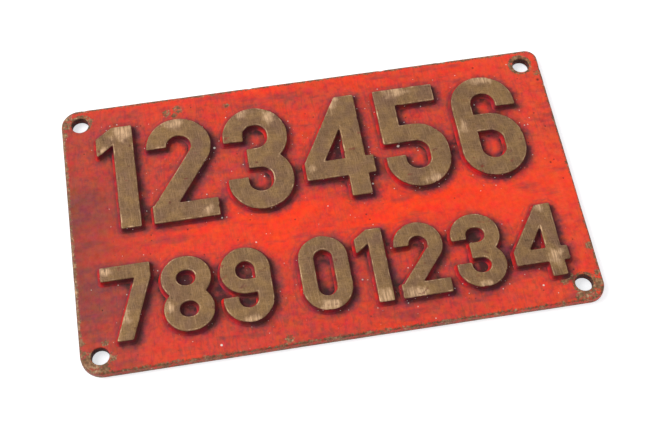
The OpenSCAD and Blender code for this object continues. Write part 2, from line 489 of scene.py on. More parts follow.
@dataclass(frozen=True)
class Signal:
    """An output of a node, which can be reckoned with like a number."""

    w: Wiring
    node: bpy.types.Node
    key: int | str = 0

    @property
    def socket(self) -> bpy.types.NodeSocket:
        """The output itself."""
        return self.node.outputs[self.key]

    def __getitem__(self, key: int | str) -> "Signal":
        """Gives another output of the same node."""
        return Signal(self.w, self.node, key)

    def reckon(self, operation: str, *terms: Any) -> "Signal":
        """Works out a sum, of vectors unless the signal is a number.

        Args:
            operation: Blender's name for the sum.
            terms: What is reckoned with, the signal among it.

        Returns:
            The result.
        """
        if self.socket.type == "VALUE":
            return self.w.put("ShaderNodeMath", dict(enumerate(terms)), operation=operation)
        spread = [(term,) * 3 if isinstance(term, (int, float)) else term for term in terms]
        return self.w.put("ShaderNodeVectorMath", dict(enumerate(spread)), operation=operation)

    def __add__(self, other: Any) -> "Signal":
        """Adds a number, a vector or a signal."""
        return self.reckon("ADD", self, other)

    def __sub__(self, other: Any) -> "Signal":
        """Takes something from the signal."""
        return self.reckon("SUBTRACT", self, other)

    def __rsub__(self, other: float) -> "Signal":
        """Takes the signal from a number."""
        return self.reckon("SUBTRACT", other, self)

    def __mul__(self, other: Any) -> "Signal":
        """Multiplies, vectors part by part."""
        return self.reckon("MULTIPLY", self, other)

    def __rtruediv__(self, other: float) -> "Signal":
        """Divides a number by the signal."""
        return self.reckon("DIVIDE", other, self)

    def __abs__(self) -> "Signal":
        """Drops the sign of a number."""
        return self.reckon("ABSOLUTE", self)

    def at_least(self, other: Any) -> "Signal":
        """Gives the larger of two numbers."""
        return self.reckon("MAXIMUM", self, other)

    def at_most(self, other: Any) -> "Signal":
        """Gives the smaller of two numbers."""
        return self.reckon("MINIMUM", self, other)

    def axes(self) -> "Signal":
        """Takes a vector apart into X, Y and Z."""
        return self.w.put("ShaderNodeSeparateXYZ", {0: self})

    def rise(self, start: Any, end: Any, low: float = 0, high: float = 1) -> "Signal":
        """Passes softly from low to high as the signal goes from start to end."""
        inputs = {"Value": self, "From Min": start, "From Max": end, "To Min": low, "To Max": high}
        return self.w.put("ShaderNodeMapRange", inputs, interpolation_type="SMOOTHSTEP", clamp=True)

    def noise(self, size: Any, detail: int, seed: Any, rough: float = 0.5) -> "Signal":
        """Gives a cloudy noise, whose features have a size in the units of the place that the signal is."""
        inputs = {"Vector": self, "Scale": 1 / size, "Detail": detail, "Roughness": rough, "W": seed}
        return self.w.put("ShaderNodeTexNoise", inputs, noise_dimensions="4D")

    def blend(self, under: Any, over: Any) -> "Signal":
        """Lays one colour, a signal or a code, over another where the signal is 1."""
        under, over = (tinted(colour) if isinstance(colour, str) else colour for colour in (under, over))
        return self.w.put("ShaderNodeMix", {0: self, 6: under, 7: over}, data_type="RGBA")[2]

    def between(self, low: Any, high: Any) -> "Signal":
        """Passes from one number to another as the signal goes from 0 to 1."""
        return self.w.put("ShaderNodeMix", {0: self, 2: low, 3: high}, data_type="FLOAT")


def tinted(code: str) -> Colour:
    """Turns a screen colour into the linear colour that a shader takes.

    Args:
        code: Colour such as #c04030.

    Returns:
        Its red, green and blue, and 1 for opaque.
    """
    shares = [int(code[i : i + 2], 16) / 255 for i in (1, 3, 5)]
    # The curve that all screens share
    linear = [s / 12.92 if s <= 0.04045 else ((s + 0.055) / 1.055) ** 2.4 for s in shares]
    return (*linear, 1.0)


# The uneven skin of a sand casting


@dataclass(frozen=True)
class SkinSizes:
    """Sizes of the unevenness of one kind of piece, and how many nicks a square millimetre has."""

    sink: float
    sink_size: float
    wander: float
    wander_size: float
    pit_depth: float
    nick_depth: float
    nick_size: float
    nick_density: float


class CastingSkin:
    """Geometry Nodes tree that sinks, wanders, pits and nicks the skin of a piece."""

    def __init__(self) -> None:
        """Names the tree's inputs, with one for each size, and makes it."""
        self.tree = bpy.data.node_groups.new("casting_skin", "GeometryNodeTree")
        sizes = {size.name: "Float" for size in fields(SkinSizes)}
        kinds = {"shape": "Geometry", **sizes, "seed": "Int", "finish": "Material"}
        self.sockets = {}
        for name, kind in kinds.items():
            made = self.tree.interface.new_socket(name, in_out="INPUT", socket_type=f"NodeSocket{kind}")
            self.sockets[name] = made.identifier
        self.tree.interface.new_socket("shape", in_out="OUTPUT", socket_type="NodeSocketGeometry")
        self.build()

    def build(self) -> None:
        """Makes the tree, which ends in Realize Instances and Set Material."""
        w = Wiring(self.tree)
        given = w.put("NodeGroupInput")
        shape, seed = given["shape"], given["seed"]
        place = w.put("GeometryNodeInputPosition")
        worked, pit, arris = (self.attribute(w, name) for name in ("worked", "pit", "arris"))

        sink = place.noise(given["sink_size"], 2, seed) * given["sink"]
        drop = w.put("ShaderNodeCombineXYZ", {"Z": (sink + pit * given["pit_depth"]) * -1})
        drift = place.noise(given["wander_size"], 2, seed)["Color"]
        # The noise goes from 0 to 1, and the skin wanders both ways along the plate
        moved = ((drift - 0.5) * (2, 2, 0) * given["wander"] + drop) * worked

        at_arris = w.put("FunctionNodeCompare", {0: arris, 1: 0.5}, operation="GREATER_THAN")
        scatter = {"Mesh": shape, "Selection": at_arris, "Density": given["nick_density"], "Seed": seed}
        struck = w.put("GeometryNodeDistributePointsOnFaces", scatter)
        away = w.put("GeometryNodeProximity", {0: struck}, target_element="POINTS")["Distance"]
        depth = away.rise(given["nick_size"], 0) * (given["nick_depth"] * -1)
        nicked = w.put("GeometryNodeInputNormal") * (depth * worked)

        shape = w.put("GeometryNodeSetPosition", {"Geometry": shape, "Offset": moved + nicked})
        shape = w.put("GeometryNodeSetShadeSmooth", {"Geometry": shape})
        shape = w.put("GeometryNodeRealizeInstances", {"Geometry": shape})
        shape = w.put("GeometryNodeSetMaterial", {"Geometry": shape, "Material": given["finish"]})
        w.put("NodeGroupOutput", {0: shape})

    @staticmethod
    def attribute(w: Wiring, name: str) -> Signal:
        """Reads a number that the mesh keeps for each corner."""
        return w.put("GeometryNodeInputNamedAttribute", {"Name": name}, data_type="FLOAT")["Attribute"]

    def apply(self, mesh: Mesh, sizes: SkinSizes, seed: int, finish: Material) -> Piece:
        """Gives a mesh its skin and leaves a plain object.

        Args:
            mesh: The smooth mesh, with its worked, pit and arris numbers.
            sizes: Sizes of the unevenness.
            seed: Number that fixes all that is random.
            finish: Material of the piece.

        Returns:
            An object without modifiers, at the origin.
        """
        piece = in_scene(mesh.name, mesh)
        modifier = piece.modifiers.new("casting_skin", "NODES")
        modifier.node_group = self.tree
        for name, size in vars(sizes).items():
            modifier[self.sockets[name]] = size / MM**2 if name == "nick_density" else size * MM
        modifier[self.sockets["seed"]] = seed
        modifier[self.sockets["finish"]] = finish
        depsgraph = bpy.context.evaluated_depsgraph_get()
        worked = piece.evaluated_get(depsgraph)
        plain = bpy.data.meshes.new_from_object(worked, preserve_all_data_layers=True, depsgraph=depsgraph)
        piece.modifiers.clear()
        piece.data = plain
        bpy.data.meshes.remove(mesh)
        plain.name = piece.name
        return piece


# Raised numerals


@dataclass(frozen=True)
class ReliefSection:
    """Section of a raised wall, as distances outwards from the outline of the flat top.

    The crown is the softened top edge. The tail is the hidden end of the wall, just under the ground.
    """

    top: float = 5.0
    ground: float = 3.0
    crown_start: float = -0.15
    crown_end: float = 0.32
    crown_drop: float = 0.34
    wall_end: float = 0.5
    fillet: float = 0.6
    tail_end: float = 1.38
    tail_level: float = 2.93
    crown_angles: tuple[int, ...] = (0, 26, 46, 66)
    fillet_angles: tuple[int, ...] = (0, 38, 59, 78)

    @property
    def foot(self) -> float:
        """Distance at which the fillet meets the ground."""
        return self.wall_end + self.fillet

    def stations(self) -> list[tuple[float, float]]:
        """Lists distance and height from the edge of the flat top down to the hidden tail.

        Returns:
            One pair for each ring of the wall.
        """
        line = []
        for angle in map(math.radians, self.crown_angles):
            gap = self.crown_start + (self.crown_end - self.crown_start) * math.sin(angle)
            line.append((gap, self.top - self.crown_drop * (1 - math.cos(angle))))
        for angle in map(math.radians, self.fillet_angles):
            gap = self.wall_end + self.fillet * (1 - math.cos(angle))
            line.append((gap, self.ground + self.fillet * (1 - math.sin(angle))))
        return [*line, (self.tail_end, self.tail_level)]


@dataclass(frozen=True)
class RubbedSpot:
    """An oval place on a numeral's top that hands or a file have rubbed bright.

    Its middle is given as shares of the width and height of the numeral.
    """

    across: float
    up: float
    half_width: float
    half_height: float
    strength: float = 1.0


@dataclass(frozen=True)
class RaisedNumeral:
    """One raised numeral, from its foot in the ground to its rubbed brass top.

    The section's wall is sampled on a grid round the outlines. The skin is uneven from a little over the
    ground upwards. The arris, which is nicked, is centred a little under the top.
    """

    row: Row
    digit: int
    rubs: tuple[RubbedSpot, ...] = ()
    section: ReliefSection = ReliefSection()
    grid_step: float = 0.13
    grid_margin: float = 0.8
    softening: float = 0.14
    spacing: float = 0.3
    top_spacing: float = 0.6
    skin_rise: float = 0.3
    arris_drop: float = 0.25
    arris_reach: float = 0.3
    arris_inset: float = 0.5
    skin: SkinSizes = SkinSizes(
        sink=0.05,
        sink_size=7,
        wander=0.15,
        wander_size=3.2,
        pit_depth=0,
        nick_depth=0.18,
        nick_size=0.8,
        nick_density=0.05,
    )

    @property
    def name(self) -> str:
        """Name of the CAD node that it stands for."""
        return f"{self.row.value}_{self.digit}"

    def outlines(self) -> Outlines:
        """Reads the outlines of its flat top."""
        return Outlines.of_face(self.name, self.section.top)

    def build(self, skin: CastingSkin, finish: Material, seed: int) -> Piece:
        """Makes the numeral.

        Args:
            skin: The tree that gives it an uneven skin.
            finish: Its enamel and brass.
            seed: Number that fixes its unevenness.

        Returns:
            The finished object.
        """
        outlines, section = self.outlines(), self.section
        margin = section.tail_end + self.grid_margin
        distances = DistanceMap.around(outlines, margin, self.grid_step, self.softening)
        loops = []
        heights = []
        for gap, height in section.stations():
            outer = [evenly_spaced(loop, self.spacing) for loop in distances.contour(gap)]
            loops.extend(outer)
            heights.extend(height for ring in outer for _ in ring)
        # The lines of the last station are the border of the whole numeral
        inner = honeycomb(*outlines.box(), self.top_spacing)
        inner = inner[outlines.gap(inner) < section.crown_start - self.top_spacing / 2]
        points, faces, source = triangles_between(loops, inner, outer)
        heights.extend(section.top for _ in inner)
        level = np.where(source < 0, section.top, np.array(heights)[source])

        patches = Patchwork()
        patches.add(np.column_stack([points, level]), faces)
        patches.add_sheet(outer, np.empty((0, 2)), section.tail_level, facing_up=False)
        mesh = patches.mesh(f"{self.name}_casting")
        self.mark(mesh, outlines)
        return skin.apply(mesh, self.skin, seed, finish)

    def mark(self, mesh: Mesh, outlines: Outlines) -> None:
        """Stores on the mesh what its skin and finish ask for.

        Args:
            mesh: The smooth mesh.
            outlines: Outlines of the flat top.
        """
        corners = corners_of(mesh)
        flat, height = corners[:, :2], corners[:, 2]
        gap = outlines.gap(flat)
        ground = self.section.ground
        arris_height = np.abs(height - self.section.top + self.arris_drop)
        low, high = outlines.box()
        rubbed = np.zeros(len(corners))
        for spot in self.rubs:
            middle = low + (high - low) * (spot.across, spot.up)
            away = np.linalg.norm((flat - middle) / (spot.half_width, spot.half_height), axis=1)
            rubbed = np.maximum(rubbed, spot.strength * smooth_share(away, 1, 0))
        store(
            mesh,
            figure_gap=gap - self.section.foot,
            # Gap from a point moved towards the lamp, which places painted shadow and dirt on the side away
            # from it
            dirt_gap=outlines.gap(flat + SHADOW_AND_DIRT_SHIFT) - self.section.foot,
            crown_gap=gap,
            worked=smooth_share(height, ground, ground + self.skin_rise),
            pit=np.zeros(len(corners)),
            arris=(arris_height < self.arris_reach) * (gap > -self.arris_inset) * 1.0,
            rubbed=rubbed,
        )


# The plate


@dataclass(frozen=True)
class Spot:
    """A round place on the plate: a chip in the enamel or a pit in the casting."""

    x: float
    y: float
    radius: float

    def away(self, points: Array) -> Array:
        """Measures how far points lie from its middle."""
        return np.linalg.norm(points - (self.x, self.y), axis=1)

    def ring(self, count: int, radius: float, start: float = 0.0) -> Array:
        """Places points evenly on a circle round its middle, the first at an angle."""
        turns = np.linspace(0, 2 * math.pi, count, endpoint=False) + start
        return (self.x, self.y) + radius * np.column_stack([np.cos(turns), np.sin(turns)])


@dataclass(frozen=True)
class FixingHole(Spot):
    """A drilled hole, with the leaning ring of enamel that its screw has worn away."""

    worn: float
    lean_angle: float
    lean: float

    def bore(self, section: Section, corners: int) -> list[Array]:
        """Places the rings of its wall, by what the section adds to its radius at each height."""
        return [lifted(self.ring(corners, self.radius + grown), level) for grown, level in section]

    def worn_gap(self, points: Array) -> Array:
        """Measures how far points lie outside its worn ring, which is widest at the angle of its lean."""
        turn = np.arctan2(points[:, 1] - self.y, points[:, 0] - self.x) - math.radians(self.lean_angle)
        return self.away(points) - self.radius - self.worn - self.lean * np.cos(turn)


def spots(*sizes: Triple) -> tuple[Spot, ...]:
    """Makes spots from their x, y and radius."""
    return tuple(Spot(*size) for size in sizes)


@dataclass(frozen=True)
class SignPlate:
    """The cast plate: its ground, worn front edge, filed sides, drilled bores and flat back.

    The side section has insets from the outline, and the bore section what is added to the radius.
    Edge wear lists an axis, where on it the wear starts and is full, and how much brass is then bare.
    A pit's rings have a share of its radius and a count of points. The figures are the numerals on the
    plate, each with the outlines of its top and how far its foot lies outside them.
    """

    figures: tuple[tuple[Outlines, float], ...]
    thickness: float = 3.0
    side_section: Section = (
        *((0.4, 0), (0.18, 0.07), (0.08, 0.25), (0.08, 0.8), (0.09, 1.3), (0.11, 1.8), (0.14, 2.25)),
        *((0.2, 2.55), (0.32, 2.76), (0.52, 2.9), (0.8, 2.975), (1.15, 3)),
    )
    bore_section: Section = (
        *((0.4, 3), (0.22, 2.96), (0.09, 2.86), (0.02, 2.68), (0, 2.3)),
        *((0, 1.5), (0, 0.7), (0, 0.25), (0.07, 0.07), (0.22, 0)),
    )
    outline_spacing: float = 0.5
    bore_corners: int = 56
    # Spacing of the ground's points close to a numeral and in the open, and where the one takes over
    near_spacing: float = 0.45
    open_spacing: float = 0.8
    near_reach: float = 2.6
    under_foot: float = 0.9
    border_clearance: float = 0.35
    back_spacing: float = 4.0
    back_clearance: float = 1.0
    figure_reach: float = 7.0
    holes: tuple[FixingHole, ...] = (
        FixingHole(-74.75, 41.5, 2.75, worn=0.5, lean_angle=50, lean=0.9),
        FixingHole(74.75, 41.5, 2.75, worn=1.25, lean_angle=150, lean=0.4),
        FixingHole(74.75, -41.5, 2.75, worn=1.2, lean_angle=-60, lean=0.5),
        FixingHole(-74.75, -41.5, 2.75, worn=0.4, lean_angle=-130, lean=0.9),
    )
    edge_wear: tuple[tuple[int, float, float, float], ...] = (
        *((0, -76, -80, 1.1), (0, 76, 80, 0.8), (1, 43, 46.5, 1.1), (1, -43, -46.3, 0.65)),
    )
    chips: tuple[Spot, ...] = spots(
        *((-46.2, 41.6, 1.3), (-42.3, 42.6, 1.5), (-43.8, 40.3, 0.9), (-25.9, 41.3, 1.1)),
        *((-79.4, 42.0, 1.8), (-80.0, 38.4, 1.2), (-78.6, 44.8, 1.5), (-71.3, 42.6, 1.1)),
        *((-73.0, -37.6, 1.2), (-71.3, -42.3, 1.4), (-79.6, -40.0, 1.1), (-77.8, -44.8, 2.9)),
        *((-80.3, -36.6, 1.3), (-79.2, -42.6, 1.5), (-73.8, -46.2, 1.7), (-17.8, -45.4, 1.4)),
        *((68.7, -40.0, 1.2), (70.4, -38.5, 1.2), (78.8, -42.8, 2.3), (79.8, -38.9, 1.2)),
        *((72.8, -46.1, 2.0), (76.6, -46.5, 1.3), (79.9, -29.4, 1.3), (79.0, 37.6, 0.8)),
    )
    named_pits: tuple[Spot, ...] = spots(
        *((79.0, 34.8, 0.8), (74.5, 21.9, 0.42), (77.0, 16.2, 0.4), (75.3, 2.4, 0.48)),
        *((77.8, -4.1, 0.4), (58.4, 43.0, 0.5), (-10.0, -5.0, 0.4), (12.6, -6.9, 0.42)),
        *((13.4, -8.9, 0.36), (-44.0, -3.0, 0.45), (72.6, -36.6, 0.5)),
    )
    scattered_pits: int = 55
    scattered_radii: tuple[float, float] = (0.16, 0.34)
    pitted_corner: tuple[float, float] = (78.0, 44.5)
    numeral_clearance: float = 0.6
    hole_clearance: float = 4.5
    pit_rings: tuple[tuple[float, int], ...] = ((0.45, 6), (0.85, 9), (1.25, 12))
    pit_clearance: float = 1.6
    deep_pit: float = 0.3
    # How ragged the enamel's border is, and how the enamel thins down the sides and over the back
    border_scale: float = 0.6
    enamel_end: float = 0.5
    side_gap: float = 0.22
    side_thinning: float = 0.2
    back_thinning: float = 2.4
    arris_inset: float = 1.0
    arris_depth: float = 0.6
    bore_rim: float = 0.5
    # Painted shade darkens the bores below their rim, and dirt lies thinly in a line just under the front
    # edge
    bore_grime_depth: float = 0.5
    edge_grime: float = 0.2
    edge_grime_depth: float = 0.3
    edge_grime_half_width: float = 0.28
    # The grid on which places that are shut in by numerals are found, and the share that is shut in
    enclosure_step: float = 0.4
    enclosure_radius: float = 3.0
    enclosed_share: tuple[float, float] = (0.45, 0.64)
    seed: int = 11
    skin: SkinSizes = SkinSizes(
        sink=0.05,
        sink_size=16,
        wander=0.1,
        wander_size=7,
        pit_depth=0.16,
        nick_depth=0.2,
        nick_size=1.1,
        nick_density=0.04,
    )

    def build(self, skin: CastingSkin, finish: Material) -> Piece:
        """Makes the plate.

        Args:
            skin: The tree that gives it an uneven skin.
            finish: Its enamel and bare brass.

        Returns:
            The finished object.
        """
        edge = Outlines(Outlines.of_face("plate", 0.0).loops[:1])
        border = evenly_spaced(edge.loops[0], self.outline_spacing)
        inward = inwards(border)
        side = [lifted(border + inset * inward, level) for inset, level in self.side_section]
        bores = [hole.bore(self.bore_section, self.bore_corners) for hole in self.holes]
        patches = Patchwork()
        for wall in (side, *bores):
            patches.add_rings(wall)
        front = [side[-1][:, :2], *(bore[0][:, :2] for bore in bores)]
        back = [side[0][:, :2], *(bore[-1][:, :2] for bore in bores)]
        pits = self.all_pits()
        patches.add_sheet(front, self.ground_points(front, pits), self.thickness, facing_up=True)
        patches.add_sheet(back, self.back_points(back), 0.0, facing_up=False)
        mesh = patches.mesh("plate_casting")
        self.mark(mesh, edge, pits)
        return skin.apply(mesh, self.skin, self.seed, finish)

    def nearest_figure(self, points: Array) -> Array:
        """Measures the gap from points to the foot of the nearest numeral.

        Args:
            points: Places in the plane.

        Returns:
            The gap of each, no more than the reach.
        """
        reach = self.figure_reach
        nearest = np.full(len(points), reach)
        for outlines, foot in self.figures:
            low, high = outlines.box()
            close = np.all((points > low - reach) & (points < high + reach), axis=1)
            nearest[close] = np.minimum(nearest[close], outlines.gap(points[close], reach) - foot)
        return nearest

    def all_pits(self) -> list[Spot]:
        """Adds scattered pits to the named ones, all on open ground.

        Returns:
            The pits.
        """
        draw = np.random.default_rng(self.seed)
        corner = np.array(self.pitted_corner)
        places = draw.uniform(-corner, corner, (4 * self.scattered_pits, 2))
        radii = draw.uniform(*self.scattered_radii, len(places))
        clear = self.nearest_figure(places) > self.numeral_clearance
        for hole in self.holes:
            clear &= hole.away(places) > self.hole_clearance
        scattered = spots(*np.column_stack([places, radii])[clear][: self.scattered_pits])
        return [*self.named_pits, *scattered]

    def ground_points(self, borders: list[Array], pits: list[Spot]) -> Array:
        """Spreads the ground's inner points, closest at the feet of the numerals and round the pits.

        Args:
            borders: The lines that end the ground.
            pits: The pits in it.

        Returns:
            The points.
        """
        low, high = borders[0].min(axis=0), borders[0].max(axis=0)
        coarse = honeycomb(low, high, self.open_spacing)
        coarse = coarse[self.nearest_figure(coarse) > self.near_reach]
        fine = honeycomb(low, high, self.near_spacing)
        gap = self.nearest_figure(fine)
        points = np.concatenate([coarse, fine[(gap <= self.near_reach) & (gap > -self.under_foot)]])
        points = points[Outlines(tuple(borders)).gap(points, reach=1.0) < -self.border_clearance]
        for pit in pits:
            points = points[pit.away(points) > pit.radius * self.pit_clearance]
        return np.concatenate([points, *map(self.pit_points, pits)])

    def pit_points(self, pit: Spot) -> Array:
        """Places the points of one pit, in rings round its middle."""
        rings = [pit.ring(count, pit.radius * share, share) for share, count in self.pit_rings]
        return np.concatenate([[(pit.x, pit.y)], *rings])

    def back_points(self, borders: list[Array]) -> Array:
        """Spreads a few points over the flat back."""
        points = honeycomb(borders[0].min(axis=0), borders[0].max(axis=0), self.back_spacing)
        return points[Outlines(tuple(borders)).gap(points) < -self.back_clearance]

    def mark(self, mesh: Mesh, edge: Outlines, pits: list[Spot]) -> None:
        """Stores on the mesh what its skin and finish ask for.

        Args:
            mesh: The smooth mesh.
            edge: Outline of the plate.
            pits: The pits in its ground.
        """
        corners = corners_of(mesh)
        flat, height = corners[:, :2], corners[:, 2]
        inset = -edge.gap(flat, reach=4.0)
        at_edge = inset < self.arris_inset
        depth = self.thickness - height
        on_front, on_back = depth < LEVEL_ERROR, height < LEVEL_ERROR
        bore_gap = np.min([hole.away(flat) - hole.radius for hole in self.holes], axis=0)
        on_bore = bore_gap < self.bore_rim
        pitted = np.zeros(len(corners))
        for pit in pits:
            hollow = smooth_share(pit.away(flat), pit.radius * 1.1, 0) * min(1, pit.radius / self.deep_pit)
            pitted = np.maximum(pitted, hollow)
        # Painted shade in the bores, full from half a millimetre down, and dirt in a line just under the
        # front edge
        bore_shade = smooth_share(depth, 0, self.bore_grime_depth) * on_bore
        off_line = np.abs(depth - self.edge_grime_depth)
        along_edge = smooth_share(off_line, self.edge_grime_half_width, 0.05) * at_edge
        store(
            mesh,
            figure_gap=np.where(on_back, self.figure_reach, self.nearest_figure(flat)),
            # Gap from a point moved towards the lamp, which places painted shadow and dirt on the side away
            # from it
            dirt_gap=np.where(on_back, self.figure_reach, self.nearest_figure(flat + SHADOW_AND_DIRT_SHIFT)),
            bare_gap=self.bare_gap(flat, height, inset),
            pit=pitted * on_front,
            worked=smooth_share(height, 0.0, 0.5) * ~on_bore * smooth_share(bore_gap, 0.4, 1.4),
            grime=np.maximum(bore_shade, self.edge_grime * along_edge),
            enclosed=self.enclosure(flat) * on_front,
            arris=at_edge * (depth < self.arris_depth) * 1.0,
        )

    def bare_gap(self, flat: Array, height: Array, inset: Array) -> Array:
        """Measures how far corners lie from where the enamel has gone.

        Args:
            flat: Places of the corners in the plane.
            height: Their heights.
            inset: How far they lie inside the outline.

        Returns:
            The gap of each, negative where the brass is bare.
        """
        wear = [width * smooth_share(flat[:, axis], start, end) for axis, start, end, width in self.edge_wear]
        chip_gap = np.min([chip.away(flat) - chip.radius for chip in self.chips], axis=0)
        gap = self.border_scale * np.minimum(inset - np.max(wear, axis=0), chip_gap)
        gap = np.min([gap, *(hole.worn_gap(flat) for hole in self.holes)], axis=0)
        below = self.thickness - self.enamel_end - height
        gap += (self.side_gap - self.side_thinning * below - gap) * smooth_share(below, 0, 0.4)
        return gap - self.back_thinning * smooth_share(inset, 0.5, 3.5) * (height < LEVEL_ERROR)

    def enclosure(self, points: Array) -> Array:
        """Gives 1 for places that raised work shuts in on most sides, such as the counters.

        Args:
            points: Places on the ground.

        Returns:
            One number from 0 to 1 for each place.
        """
        step = self.enclosure_step
        low = points.min(axis=0)
        grid = square_grid(low, points.max(axis=0), step)
        covered = (self.nearest_figure(grid.reshape(-1, 2)) < 0).reshape(grid.shape[:2]) * 1.0
        column, row = np.rint((points - low) / step).astype(int).T
        shut_in = softened(covered, self.enclosure_radius / step)[row, column]
        return smooth_share(shut_in, *self.enclosed_share)


# Effects that several finishes share


class Effect:
    """A shader node group, whose recipe makes masks, colours or numbers from a place and some numbers."""

    def __init__(self, recipe: Callable[[Signal], dict[str, Signal]], **inputs: float) -> None:
        """Makes the group.

        Args:
            recipe: Function that gives the outputs, by name, for the node of the inputs.
            inputs: Name and usual value of each number that it takes.
        """
        self.tree = bpy.data.node_groups.new(recipe.__name__, "ShaderNodeTree")
        face = self.tree.interface
        face.new_socket("Place", in_out="INPUT", socket_type="NodeSocketVector")
        for name, value in inputs.items():
            face.new_socket(name, in_out="INPUT", socket_type="NodeSocketFloat").default_value = value
        w = Wiring(self.tree)
        results = recipe(w.put("NodeGroupInput"))
        for name, signal in results.items():
            kind = "NodeSocketFloat" if signal.socket.type == "VALUE" else "NodeSocketColor"
            face.new_socket(name, in_out="OUTPUT", socket_type=kind)
        w.put("NodeGroupOutput", results)

    def __call__(self, place: Signal, **inputs: Any) -> Signal:
        """Places the group in the tree of the place, with its inputs by name."""
        return place.w.put("ShaderNodeGroup", {"Place": place, **inputs}, node_tree=self.tree)


def ragged_border(given: Signal) -> dict[str, Signal]:
    """Gives a coat that ends in a ragged line, 1 where the gap is below nought.

    Args:
        given: The group's inputs.

    Returns:
        The mask by its name.
    """
    place, grain, softness = given["Place"], given["Grain"], given["Softness"]
    both = place.noise(grain * 4, 4, given["Seed"]) + place.noise(grain, 3, given["Seed"], rough=0.6)
    edge = (both - 1) * (given["Raggedness"] * 1.6) + given["Gap"]
    return {"Mask": edge.rise(softness, softness * -1)}


def soft_cloud(given: Signal) -> dict[str, Signal]:
    """Gives a soft patchy cloud, drawn out along the rows.

    Args:
        given: The group's inputs.

    Returns:
        The mask by its name.
    """
    narrow = given.w.put("ShaderNodeCombineXYZ", {"X": 1 / given["Stretch"], "Y": 1, "Z": 1})
    cloud = (given["Place"] * narrow).noise(given["Size"], 5, given["Seed"], rough=0.55)
    return {"Mask": cloud.rise(given["Start"], given["End"])}


def fine_scratches(given: Signal) -> dict[str, Signal]:
    """Gives fine straight scratches in one direction.

    Args:
        given: The group's inputs.

    Returns:
        The mask by its name.
    """
    turn = {"Vector": given["Place"], "Angle": given["Turn"]}
    turned = given.w.put("ShaderNodeVectorRotate", turn, rotation_type="Z_AXIS")
    thin = given.w.put("ShaderNodeCombineXYZ", {"X": 1 / given["Length"], "Y": 1 / given["Width"], "Z": 1})
    start = 0.75 - given["Share"] * 0.4
    return {"Mask": (turned * thin).noise(1, 1, given["Seed"]).rise(start, start + 0.12)}


def dust_specks(given: Signal) -> dict[str, Signal]:
    """Gives separate specks of uneven size.

    Args:
        given: The group's inputs.

    Returns:
        The mask by its name.
    """
    place, spacing, seed = given["Place"], given["Spacing"], given["Seed"]
    ruffled = place + place.noise(0.3, 2, seed)["Color"] * 0.25 + seed * 17.3
    cells = given.w.put("ShaderNodeTexVoronoi", {"Vector": ruffled, "Scale": 1 / spacing})
    chances = given.w.put("ShaderNodeSeparateColor", {0: cells["Color"]})
    size = given["Size"] * (chances[1] * 0.7 + 0.5)
    dot = (cells["Distance"] * spacing).rise(size, size * 0.5)
    return {"Mask": dot * chances.reckon("LESS_THAN", chances, given["Share"])}


class Effects:
    """The effects, built once for all the finishes."""

    def __init__(self) -> None:
        """Makes the four groups."""
        self.border = Effect(ragged_border, Gap=0.0, Raggedness=0.5, Grain=0.5, Softness=0.1, Seed=0.0)
        self.cloud = Effect(soft_cloud, Size=10.0, Stretch=1.0, Start=0.45, End=0.6, Seed=0.0)
        self.scratches = Effect(fine_scratches, Turn=0.0, Length=12.0, Width=0.2, Share=0.2, Seed=0.0)
        self.specks = Effect(dust_specks, Spacing=4.0, Size=0.2, Share=0.5, Seed=0.0)


# Coats


